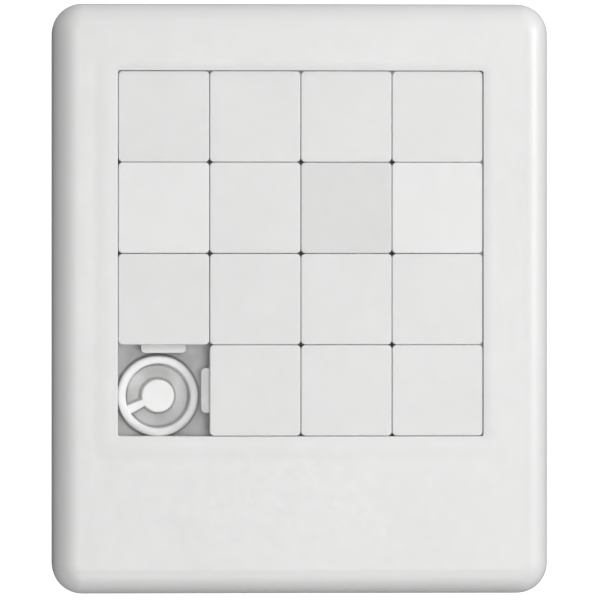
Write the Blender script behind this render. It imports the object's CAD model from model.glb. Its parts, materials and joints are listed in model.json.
"""The looks of the sliding tile puzzle: moulded covers and tiles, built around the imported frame."""

import json
import math
import random

import bmesh
import bpy
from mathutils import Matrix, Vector


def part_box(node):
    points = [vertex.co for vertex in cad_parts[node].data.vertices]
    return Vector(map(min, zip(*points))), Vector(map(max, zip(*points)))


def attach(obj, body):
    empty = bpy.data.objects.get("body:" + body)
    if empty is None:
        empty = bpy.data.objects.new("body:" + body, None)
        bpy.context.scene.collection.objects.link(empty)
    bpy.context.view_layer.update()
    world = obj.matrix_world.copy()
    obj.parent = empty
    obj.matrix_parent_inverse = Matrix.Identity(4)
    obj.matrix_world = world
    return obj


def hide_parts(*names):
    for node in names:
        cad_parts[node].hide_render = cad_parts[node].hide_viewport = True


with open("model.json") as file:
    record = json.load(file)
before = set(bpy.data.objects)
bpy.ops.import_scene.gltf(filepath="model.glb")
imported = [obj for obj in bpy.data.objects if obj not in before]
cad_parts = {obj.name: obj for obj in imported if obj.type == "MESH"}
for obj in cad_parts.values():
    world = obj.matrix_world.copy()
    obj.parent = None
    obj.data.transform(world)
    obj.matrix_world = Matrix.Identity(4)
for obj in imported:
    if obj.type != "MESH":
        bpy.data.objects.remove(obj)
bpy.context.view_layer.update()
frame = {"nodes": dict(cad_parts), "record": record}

MM = 0.001

# ---------------------------------------------------------------- sizes, in millimetres
case_low, case_high = (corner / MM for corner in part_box("front_cover"))
CASE_LOW, CASE_HIGH = case_low.xy, case_high.xy
FACE_Z = case_high.z
CORNER_R = 4.3
FRONT_EDGE_R = 3.6
BACK_EDGE_R = 1.0
SEAM_Z = 2.2
SEAM_GROOVE = 0.12
WALL = 1.8
PLATE_Z = 1.4
FACE_UNDER_Z = FACE_Z - 1.6

# The tiles: the first one's box gives the pitch, the grid's place and the heights.
GAP = 0.12
first_low, first_high = (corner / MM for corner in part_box("tile_row1_col1"))
next_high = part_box("tile_row1_col2")[1] / MM
PITCH = next_high.x - first_high.x
TILE = PITCH - GAP
TILE_TOP = first_high.z
TILE_BOTTOM = first_low.z
CELLS = 4
WINDOW = CELLS * PITCH
WINDOW_LOW = Vector((first_high.x + GAP / 2 - PITCH, first_high.y + GAP / 2 - WINDOW))
WINDOW_HIGH = WINDOW_LOW + Vector((WINDOW, WINDOW))
TILE_CORNER_R = 0.6
TILE_EDGE_R = 0.15
TILE_PLAY = 0.01  # how far off its place a tile may lie
TILE_SWELL = 0.05  # how much wider a tile is drawn than its CAD part, for narrower gaps
GROOVE_TOP = TILE_TOP - 1.35
GROOVE_BOTTOM = GROOVE_TOP - 0.7
GROOVE_D = 1.5
TONGUE_T = 0.5
TONGUE_L = 6.3
TONGUE_OUT = 1.2
TONGUE_R = 0.6
TONGUE_LOW = (GROOVE_TOP + GROOVE_BOTTOM - TONGUE_T) / 2
TONGUE_HIGH = TONGUE_LOW + TONGUE_T

# The well: its lip, walls and the recess under the lip on the left and low sides. The lip and the
# walls stand back a little, which leaves the tiles room to play.
WINDOW_CORNER_R = 0.3
SLOPE_W = 1.6
SLOPE_DROP = 0.11
LIP_R = 0.28
LIP_SHARPER = 0.4
LIP_BACK = 0.04
RECESS = 1.9
WELL_WALL = 1.4
WELL_OUTER_R = 0.6
SKIRT_Z = PLATE_Z + 0.05
RIM_Z = 3.0
RIM_T = 0.9
FIT = 0.1
SUNK = 0.2  # how far a piece of the back cover reaches down into the plate it stands on
RAIL_OUT = TONGUE_OUT - GAP / 2
SINK_AT = 3.3
SINK_WIDTH = 0.6
SINK_DEPTH = 0.045

# The corner bosses and the pegs.
BOSS_TOP = TILE_BOTTOM - 0.15
BOSS_INSET = 5.65
RING_R = 5.7
RING_INNER_R = 4.55
DISC_R = 2.33
SPOKE_HALF_AT_DISC = 0.5
SPOKE_HALF_AT_RING = 0.65
SPOKE_ANGLE = 205.5
RING_RIM_R = 0.4
HOLE_RIM_R = 0.22
BOSS_FOOT_R = 0.3
PEG_R = 1.0
PEG_INSET = Vector((4.0, 4.6))
SOCKET_R = 1.7
SOCKET_Z = 3.2
PEG_TOP = 5.6
PEG_CHAMFER = 0.3
PEG_FIT = 0.03


# ---------------------------------------------------------------- outlines and lofts
def arc(centre, r, start, steps, sweep=90):
    """Points along an arc, in degrees from start."""
    angles = [math.radians(start + sweep * i / steps) for i in range(steps + 1)]
    return [(centre[0] + r * math.cos(a), centre[1] + r * math.sin(a)) for a in angles]


def round_rect(low, high, r, steps, breaks_x=(), breaks_y=()):
    """A rectangle with round corners, anticlockwise from the foot of its right side."""
    right = [(high[0], y) for y in breaks_y]
    top = [(x, high[1]) for x in reversed(breaks_x)]
    left = [(low[0], y) for y in reversed(breaks_y)]
    bottom = [(x, low[1]) for x in breaks_x]
    return (
        right + arc((high[0] - r, high[1] - r), r, 0, steps)
        + top + arc((low[0] + r, high[1] - r), r, 90, steps)
        + left + arc((low[0] + r, low[1] + r), r, 180, steps)
        + bottom + arc((high[0] - r, low[1] + r), r, 270, steps)
    )


def add_ring(bm, points, z):
    return [bm.verts.new((x * MM, y * MM, z * MM)) for x, y in points]


def bridge(bm, a, b):
    """Quads between two rings of as many points."""
    return [bm.faces.new((a[i - 1], a[i], b[i], b[i - 1])) for i in range(len(a))]


def loft(bm, sections, closed=False):
    """A skin through (points, z) sections. A closed one goes back to its first section."""
    rings = [add_ring(bm, points, z) for points, z in sections]
    following = rings[1:] + rings[:1] if closed else rings[1:]
    for a, b in zip(rings, following):
        bridge(bm, a, b)
    return rings


def solid(bm, sections):
    """A loft with its two ends closed."""
    rings = loft(bm, sections)
    bm.faces.new(rings[0])
    bm.faces.new(rings[-1])
    return rings


def quarter(r, steps):
    """(inset, drop) pairs down a quarter round of radius r, from its top to its side."""
    angles = [math.pi / 2 * i / steps for i in range(steps + 1)]
    return [(r * (1 - math.sin(a)), r * (1 - math.cos(a))) for a in angles]


def finish_mesh(name, bm, bevel=0.0, bevel_angle=40, steps=2):
    """An object from a bmesh, shaded smooth, with its hard edges broken by a small radius."""
    bmesh.ops.recalc_face_normals(bm, faces=bm.faces)
    for face in bm.faces:
        face.smooth = True
    mesh = bpy.data.meshes.new(name)
    bm.to_mesh(mesh)
    bm.free()
    piece = bpy.data.objects.new(name, mesh)
    bpy.context.scene.collection.objects.link(piece)
    if bevel:
        edge = piece.modifiers.new("broken_edges", "BEVEL")
        edge.width = bevel * MM
        edge.segments = steps
        edge.limit_method = "ANGLE"
        edge.angle_limit = math.radians(bevel_angle)
        edge.use_clamp_overlap = True
    shading = piece.modifiers.new("flat_faces", "WEIGHTED_NORMAL")
    shading.keep_sharp = False
    shading.weight = 80
    return piece


# ---------------------------------------------------------------- front cover
def outer(inset, z, steps=12):
    """A section of the case's outline, that far in from its sides."""
    r = max(CORNER_R - inset, 0.4)
    low = CASE_LOW + Vector((inset, inset))
    high = CASE_HIGH - Vector((inset, inset))
    return round_rect(low, high, r, steps), z


def window(out_low, out_high, z, r=None, steps=12):
    """A section around the window, moved out on its two low sides and its two high sides.

    Without a radius its corners keep the window's centres, so that the sections nest.
    """
    r = WINDOW_CORNER_R + out_low if r is None else r
    low = WINDOW_LOW - Vector((out_low, out_low))
    high = WINDOW_HIGH + Vector((out_high, out_high))
    return round_rect(low, high, r, steps), z


def face_height(out):
    """Height of the face that far out from the window: it falls away gently toward the lip."""
    down = (SLOPE_W - out) / (SLOPE_W - LIP_R)
    return FACE_Z - SLOPE_DROP * down ** 2


def sink_marks(bm):
    """The face draws in a little over the two well walls that stand back from the window."""
    for v in bm.verts:
        x, y, z = v.co / MM
        if z < FACE_Z - 0.01:
            continue
        from_left = WINDOW_LOW.x - x if y > WINDOW_LOW.y - SINK_AT else 0
        from_low = WINDOW_LOW.y - y if x > WINDOW_LOW.x - SINK_AT else 0
        past = max(x - WINDOW_HIGH.x, y - WINDOW_HIGH.y, 0)
        out = max(from_left, from_low)
        fade = math.exp(-((out - SINK_AT) / SINK_WIDTH) ** 2 / 2) * math.exp(-((past / 2) ** 2))
        v.co.z -= SINK_DEPTH * fade * MM


def front_sections():
    """Sections round the shell: over the edge and the face, down the window, and back inside."""
    edge = reversed(quarter(FRONT_EDGE_R, 12))
    over_edge = [outer(inset, FACE_Z - drop) for inset, drop in edge]
    outs = [5.2, 4.6, 4.1, 3.7, 3.3, 2.9, 2.5, 2.1, 1.7]
    face = [window(out, out, FACE_Z) for out in outs]
    slope_steps = 6
    slope_outs = [
        SLOPE_W + (LIP_R - SLOPE_W) * i / slope_steps for i in range(slope_steps + 1)
    ]
    slope = [window(out, out, face_height(out)) for out in slope_outs]
    lip_z = FACE_Z - SLOPE_DROP
    lip = [
        window(LIP_BACK + inset, LIP_BACK + LIP_SHARPER * inset, lip_z - drop)
        for inset, drop in quarter(LIP_R - LIP_BACK, 4)[1:]
    ]
    inside = [
        window(LIP_BACK, LIP_BACK, GROOVE_TOP, WINDOW_CORNER_R),
        window(RECESS, LIP_BACK, GROOVE_TOP, WINDOW_CORNER_R),
        window(RECESS, LIP_BACK, TONGUE_HIGH, WINDOW_CORNER_R),
        window(RECESS, -RAIL_OUT, TONGUE_HIGH, WINDOW_CORNER_R),
        window(RECESS, -RAIL_OUT, TONGUE_LOW, WINDOW_CORNER_R),
        window(RECESS, LIP_BACK, TONGUE_LOW, WINDOW_CORNER_R),
        window(RECESS, LIP_BACK, SKIRT_Z, WINDOW_CORNER_R),
        window(RECESS + WELL_WALL, WELL_WALL, SKIRT_Z, WELL_OUTER_R),
        window(RECESS + WELL_WALL, WELL_WALL, FACE_UNDER_Z, WELL_OUTER_R),
        outer(WALL, FACE_UNDER_Z),
        outer(WALL, SEAM_Z),
        outer(SEAM_GROOVE, SEAM_Z),
        outer(0, SEAM_Z + SEAM_GROOVE),
    ]
    return over_edge + face + slope + lip + inside


def peg_places():
    """Where the pegs and sockets stand: three along each side, and one in the wide margin."""
    x = CASE_HIGH.x - PEG_INSET.x
    y = CASE_HIGH.y - PEG_INSET.y
    return [(side * x, row * y) for side in (-1, 1) for row in (-1, 0, 1)] + [(0, 5 - y)]


def circle(centre, r, steps=40):
    return arc(centre, r, 0, steps, 360)[:-1]


def sockets(bm):
    """Blind sockets under the face, each a thick tube."""
    bore = PEG_R + PEG_FIT
    for place in peg_places():
        wall = [
            (circle(place, SOCKET_R), FACE_UNDER_Z),
            (circle(place, SOCKET_R), SOCKET_Z),
            (circle(place, bore), SOCKET_Z),
            (circle(place, bore), FACE_UNDER_Z),
        ]
        loft(bm, wall, closed=True)


def make_front_cover():
    bm = bmesh.new()
    loft(bm, front_sections(), closed=True)
    sink_marks(bm)
    sockets(bm)
    return finish_mesh("front_shell", bm, bevel=0.12, bevel_angle=50)


# ---------------------------------------------------------------- back cover
def back_tray(bm):
    """The back plate with its rounded edge, its seat for the front and the locating rim inside."""
    under = [outer(inset, drop) for inset, drop in quarter(BACK_EDGE_R, 6)]
    sections = under + [
        outer(0, SEAM_Z - SEAM_GROOVE),
        outer(SEAM_GROOVE, SEAM_Z),
        outer(WALL + FIT, SEAM_Z),
        outer(WALL + FIT, RIM_Z),
        outer(WALL + FIT + RIM_T, RIM_Z),
        outer(WALL + FIT + RIM_T, PLATE_Z),
    ]
    solid(bm, sections)


def ledges(bm):
    """The L-shaped ledge under the lip that carries the outer tiles' tongues."""
    x0, y0 = WINDOW_LOW.x - RECESS + FIT, WINDOW_LOW.y - RECESS + FIT
    x1, y1 = WINDOW_LOW.x, WINDOW_LOW.y
    far_x, far_y = WINDOW_HIGH.x - FIT, WINDOW_HIGH.y - FIT
    outline = [(x0, y0), (far_x, y0), (far_x, y1), (x1, y1), (x1, far_y), (x0, far_y)]
    solid(bm, [(outline, PLATE_Z - SUNK), (outline, GROOVE_BOTTOM)])


def boss_hole(grow, steps=72):
    """The C-shaped hole between ring and disc, its walls moved back into the plastic by grow."""
    ring_r, disc_r = RING_INNER_R + grow, DISC_R - grow
    ring_half = math.degrees(math.asin((SPOKE_HALF_AT_RING - grow) / ring_r))
    disc_half = math.degrees(math.asin((SPOKE_HALF_AT_DISC - grow) / disc_r))
    outward = arc((0, 0), ring_r, SPOKE_ANGLE + ring_half, steps, 360 - 2 * ring_half)
    inward = arc((0, 0), disc_r, SPOKE_ANGLE - disc_half, steps // 2, 2 * disc_half - 360)
    return outward + inward


def boss(bm, flip):
    """One ring, disc and spoke with eased rims. flip mirrors it into its corner of the well."""
    middle = (WINDOW_LOW + WINDOW_HIGH) / 2
    reach = WINDOW / 2 - BOSS_INSET
    most = WINDOW_HIGH - Vector((FIT, FIT))

    def placed(points):
        moved = [
            (middle.x + flip[0] * (x - reach), middle.y + flip[1] * (y - reach)) for x, y in points
        ]
        return [(min(x, most.x), min(y, most.y)) for x, y in moved]

    foot = [(-BOSS_FOOT_R, PLATE_Z - SUNK)]
    foot += [(-grow, PLATE_Z + up) for grow, up in quarter(BOSS_FOOT_R, 4)]
    outside = [(circle((0, 0), RING_R - grow, 96), z) for grow, z in foot]
    outside += [
        (circle((0, 0), RING_R - grow, 96), BOSS_TOP - drop)
        for grow, drop in reversed(quarter(RING_RIM_R, 5))
    ]
    inside = [(boss_hole(grow), z) for grow, z in foot]
    inside += [(boss_hole(grow), BOSS_TOP - drop) for grow, drop in reversed(quarter(HOLE_RIM_R, 4))]
    walls = [loft(bm, [(placed(points), z) for points, z in wall]) for wall in (outside, inside)]
    tops = [rings[-1] for rings in walls]
    rims = [bm.edges.get((top[i - 1], top[i])) for top in tops for i in range(len(top))]
    bmesh.ops.triangle_fill(bm, use_beauty=True, edges=rims)


def pegs(bm):
    for place in peg_places():
        solid(bm, [
            (circle(place, PEG_R), PLATE_Z - SUNK),
            (circle(place, PEG_R), PEG_TOP - PEG_CHAMFER),
            (circle(place, PEG_R - PEG_CHAMFER), PEG_TOP),
        ])


def make_back_cover():
    bm = bmesh.new()
    back_tray(bm)
    ledges(bm)
    for flip in [(x, y) for x in (1, -1) for y in (1, -1)]:
        boss(bm, flip)
    pegs(bm)
    return finish_mesh("back_shell", bm, bevel=0.15, bevel_angle=50, steps=3)


# ---------------------------------------------------------------- tiles
def tile_section(centre, inset, z, inset_high=None):
    """A section of a tile. inset_high is the inset of its two grooved sides, if that differs."""
    inset_high = inset if inset_high is None else inset_high
    half = (TILE + TILE_SWELL) / 2
    low = (centre[0] - half + inset, centre[1] - half + inset)
    high = (centre[0] + half - inset_high, centre[1] + half - inset_high)
    r = max(TILE_CORNER_R - min(inset, 0.4), 0.1)
    ends = (-TONGUE_L / 2, TONGUE_L / 2)
    shrink = min(1.0, (half - inset) / half)
    breaks_x = [centre[0] + e * shrink for e in ends]
    breaks_y = [centre[1] + e * shrink for e in ends]
    return round_rect(low, high, r, 5, breaks_x, breaks_y), z


def tongue(bm, centre, turn):
    """A tongue with round corners, standing out of a side. turn 0 points it along -Y, -90 along -X."""
    half = TONGUE_L / 2
    root_y = -TILE / 2 + 0.3
    tip_y = -TILE / 2 - TONGUE_OUT
    outline = (
        [(half, root_y), (-half, root_y)]
        + arc((-half + TONGUE_R, tip_y + TONGUE_R), TONGUE_R, 180, 6)
        + arc((half - TONGUE_R, tip_y + TONGUE_R), TONGUE_R, 270, 6)
    )
    a = math.radians(turn)
    turned = [
        (centre[0] + x * math.cos(a) - y * math.sin(a), centre[1] + x * math.sin(a) + y * math.cos(a))
        for x, y in outline
    ]
    solid(bm, [(turned, TONGUE_LOW), (turned, TONGUE_HIGH)])


def make_tile(node, dish, loose):
    """A tile with an eased top edge, a groove on two sides and a tongue on the other two."""
    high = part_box(node)[1] / MM
    centre = (high.x - TILE / 2 + loose[0], high.y - TILE / 2 + loose[1])
    bm = bmesh.new()
    top = [
        tile_section(centre, inset, TILE_TOP - dish * depth)
        for inset, depth in [(4.5, 1.0), (3.0, 0.8), (1.6, 0.4), (0.8, 0.1)]
    ]
    edge = [tile_section(centre, inset, TILE_TOP - drop) for inset, drop in quarter(TILE_EDGE_R, 4)]
    sides = [
        tile_section(centre, 0, GROOVE_TOP),
        tile_section(centre, 0, GROOVE_TOP, GROOVE_D),
        tile_section(centre, 0, GROOVE_BOTTOM, GROOVE_D),
        tile_section(centre, 0, GROOVE_BOTTOM),
        tile_section(centre, 0, TILE_BOTTOM),
    ]
    solid(bm, top + edge + sides)
    for turn in (0, -90):
        tongue(bm, centre, turn)
    return finish_mesh(node.replace("tile_", "tile_body_"), bm, bevel=0.08, bevel_angle=50)


# ---------------------------------------------------------------- materials
def link(tree, source, target):
    tree.links.new(source, target)


def noise_node(tree, coords, scale, detail, roughness=0.5):
    node = tree.nodes.new("ShaderNodeTexNoise")
    node.inputs["Scale"].default_value = scale
    node.inputs["Detail"].default_value = detail
    node.inputs["Roughness"].default_value = roughness
    link(tree, coords, node.inputs["Vector"])
    return node.outputs["Fac"]


def between(tree, factor, low, high):
    """A value from low to high as factor goes from 0.3 to 0.7."""
    node = tree.nodes.new("ShaderNodeMapRange")
    node.inputs["From Min"].default_value = 0.3
    node.inputs["From Max"].default_value = 0.7
    node.inputs["To Min"].default_value = low
    node.inputs["To Max"].default_value = high
    link(tree, factor, node.inputs["Value"])
    return node.outputs["Result"]


def tint(tree, factor, low, high):
    """A colour from low to high with a factor from 0 to 1."""
    mix = tree.nodes.new("ShaderNodeMix")
    mix.data_type = "RGBA"
    colours = [socket for socket in mix.inputs if socket.type == "RGBA"]
    for socket, colour in zip(colours, (low, high)):
        if hasattr(colour, "is_output"):
            link(tree, colour, socket)
        else:
            socket.default_value = (*colour, 1)
    link(tree, factor, mix.inputs["Factor"])
    return next(socket for socket in mix.outputs if socket.type == "RGBA")


def height_factor(tree, coords, low, high):
    """0 up to the height low, 1 from the height high."""
    parts = tree.nodes.new("ShaderNodeSeparateXYZ")
    link(tree, coords, parts.inputs["Vector"])
    node = tree.nodes.new("ShaderNodeMapRange")
    node.interpolation_type = "SMOOTHSTEP"
    node.inputs["From Min"].default_value = low * MM
    node.inputs["From Max"].default_value = high * MM
    link(tree, parts.outputs["Z"], node.inputs["Value"])
    return node.outputs["Result"]


def plastic(name, colour, roughness, grain, dull=None):
    """White moulded plastic: faint clouding in the colour, a fine mould grain and soft waviness.

    dull is the colour of its low places, if it differs, with the heights between which it clears.
    """
    material = bpy.data.materials.new(name)
    material.use_nodes = True
    tree = material.node_tree
    shader = tree.nodes["Principled BSDF"]
    coords = tree.nodes.new("ShaderNodeTexCoord").outputs["Object"]

    cloud = between(tree, noise_node(tree, coords, 90, 4), 0, 1)
    base = tint(tree, cloud, [c * 0.975 for c in colour], colour)
    if dull:
        base = tint(tree, height_factor(tree, coords, *dull["heights"]), dull["colour"], base)
    link(tree, base, shader.inputs["Base Color"])

    rub = noise_node(tree, coords, 700, 5, 0.65)
    link(tree, between(tree, rub, roughness - 0.05, roughness + 0.06), shader.inputs["Roughness"])

    waves = tree.nodes.new("ShaderNodeBump")
    waves.inputs["Strength"].default_value = 0.25
    waves.inputs["Distance"].default_value = 0.00008
    link(tree, noise_node(tree, coords, 160, 2), waves.inputs["Height"])
    fine = tree.nodes.new("ShaderNodeBump")
    fine.inputs["Strength"].default_value = grain
    fine.inputs["Distance"].default_value = 0.00001
    link(tree, noise_node(tree, coords, 6500, 3, 0.6), fine.inputs["Height"])
    link(tree, waves.outputs["Normal"], fine.inputs["Normal"])
    link(tree, fine.outputs["Normal"], shader.inputs["Normal"])

    shader.inputs["IOR"].default_value = 1.52
    shader.inputs["Specular IOR Level"].default_value = 0.45
    shader.inputs["Subsurface Weight"].default_value = 0.35
    shader.inputs["Subsurface Radius"].default_value = (1.0, 0.95, 0.9)
    shader.inputs["Subsurface Scale"].default_value = 0.0007
    return material


def plain(name, colour, roughness, glow=0.0):
    material = bpy.data.materials.new(name)
    material.use_nodes = True
    shader = material.node_tree.nodes["Principled BSDF"]
    shader.inputs["Base Color"].default_value = (*colour, 1)
    shader.inputs["Roughness"].default_value = roughness
    shader.inputs["Specular IOR Level"].default_value = 0.1
    shader.inputs["Emission Color"].default_value = (1, 1, 1, 1)
    shader.inputs["Emission Strength"].default_value = glow
    return material


# ---------------------------------------------------------------- the object
def put_on(piece, node, material):
    """The piece stands for the CAD node, on its body, with the material."""
    body = next(b for b, nodes in frame["record"]["behaviour"]["bodies"].items() if node in nodes)
    piece.data.materials.append(material)
    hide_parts(node)
    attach(piece, body)


FRONT_WHITE = (0.78, 0.78, 0.775)
BACK_WHITE = (0.87, 0.87, 0.865)
FLOOR_WHITE = (0.76, 0.76, 0.755)
front_plastic = plastic("front_plastic", FRONT_WHITE, 0.38, 0.2)
back_plastic = plastic(
    "back_plastic", BACK_WHITE, 0.34, 0.12,
    dull={"colour": FLOOR_WHITE, "heights": (PLATE_Z + 0.05, PLATE_Z + 0.5)},
)
put_on(make_front_cover(), "front_cover", front_plastic)
put_on(make_back_cover(), "back_cover", back_plastic)

# Most tiles are alike. One is greyer and two are whiter.
TILE_WHITE = (0.77, 0.77, 0.765)
tile_plastics = {
    "usual": plastic("tile_plastic", TILE_WHITE, 0.42, 0.3),
    "grey": plastic("tile_plastic_grey", [c * 0.93 for c in TILE_WHITE], 0.42, 0.3),
    "bright": plastic("tile_plastic_bright", [c * 1.05 for c in TILE_WHITE], 0.42, 0.3),
}
ODD_TILES = {"tile_row2_col3": "grey", "tile_row2_col4": "bright", "tile_row2_col1": "bright"}
dice = random.Random(7)
for node in sorted(n for n in frame["nodes"] if n.startswith("tile_")):
    loose = [dice.uniform(-TILE_PLAY, TILE_PLAY) for _ in "xy"]
    tile = make_tile(node, dish=dice.uniform(0.005, 0.02), loose=loose)
    put_on(tile, node, tile_plastics[ODD_TILES.get(node, "usual")])


# ---------------------------------------------------------------- studio
def area_light(name, azimuth, elevation, distance, size, power):
    """A square soft light aimed at the case. Azimuth is anticlockwise from +X.

    A light below GLARE_BELOW is left out of reflections, which would hide the face in low views.
    """
    data = bpy.data.lights.new(name, "AREA")
    data.size = size
    data.energy = power
    lamp = bpy.data.objects.new(name, data)
    a, e = math.radians(azimuth), math.radians(elevation)
    way = Vector((math.cos(a) * math.cos(e), math.sin(a) * math.cos(e), math.sin(e)))
    lamp.location = way * distance
    lamp.rotation_mode = "QUATERNION"
    lamp.rotation_quaternion = way.to_track_quat("Z", "Y")
    lamp.visible_camera = False
    lamp.visible_glossy = elevation > GLARE_BELOW
    bpy.context.scene.collection.objects.link(lamp)


def make_floor():
    bm = bmesh.new()
    bmesh.ops.create_grid(bm, x_segments=1, y_segments=1, size=4)
    mesh = bpy.data.meshes.new("floor")
    bm.to_mesh(mesh)
    bm.free()
    floor = bpy.data.objects.new("floor", mesh)
    floor.data.materials.append(plain("floor_white", (0.9, 0.9, 0.9), 0.9, glow=0.8))
    bpy.context.scene.collection.objects.link(floor)
    floor.visible_diffuse = False
    floor.visible_glossy = False


def make_world(strength):
    world = bpy.data.worlds.new("studio")
    world.use_nodes = True
    background = world.node_tree.nodes["Background"]
    background.inputs["Color"].default_value = (1, 1, 1, 1)
    background.inputs["Strength"].default_value = strength
    bpy.context.scene.world = world


def make_camera(place, aim, view_span):
    """Above the case and a little to its left, from so far away that there is little perspective."""
    data = bpy.data.cameras.new("camera")
    data.type = "PERSP"
    data.sensor_width = 36
    sight = place - aim
    data.lens = data.sensor_width * sight.length / view_span
    data.clip_start, data.clip_end = 0.01, 20
    camera = bpy.data.objects.new("camera", data)
    camera.location = place
    camera.rotation_euler = (-math.atan2(sight.y, sight.z), math.atan2(sight.x, sight.z), 0)
    bpy.context.scene.collection.objects.link(camera)
    bpy.context.scene.camera = camera


make_camera(
    place=Vector((-0.045, -0.0002, 1.0)), aim=Vector((0.00005, -0.0002, 0.004)), view_span=0.08475
)
make_floor()
make_world(0.16)
GLARE_BELOW = 25
# name: azimuth, elevation, distance, size, power
LIGHTS = {
    "overhead": (0, 88, 0.8, 0.2, 1.28),
    "key": (14, 32, 0.5, 0.16, 1.21),
    "far_high": (90, 60, 0.6, 0.25, 0.45),
    "far_low": (90, 10, 0.6, 0.25, 1.2),
    "near_high": (270, 50, 0.6, 0.25, 0.87),
    "near_low": (270, 20, 0.6, 0.25, 0.21),
}
for name, placing in LIGHTS.items():
    area_light(name, *placing)
bpy.context.scene.view_settings.view_transform = "Standard"
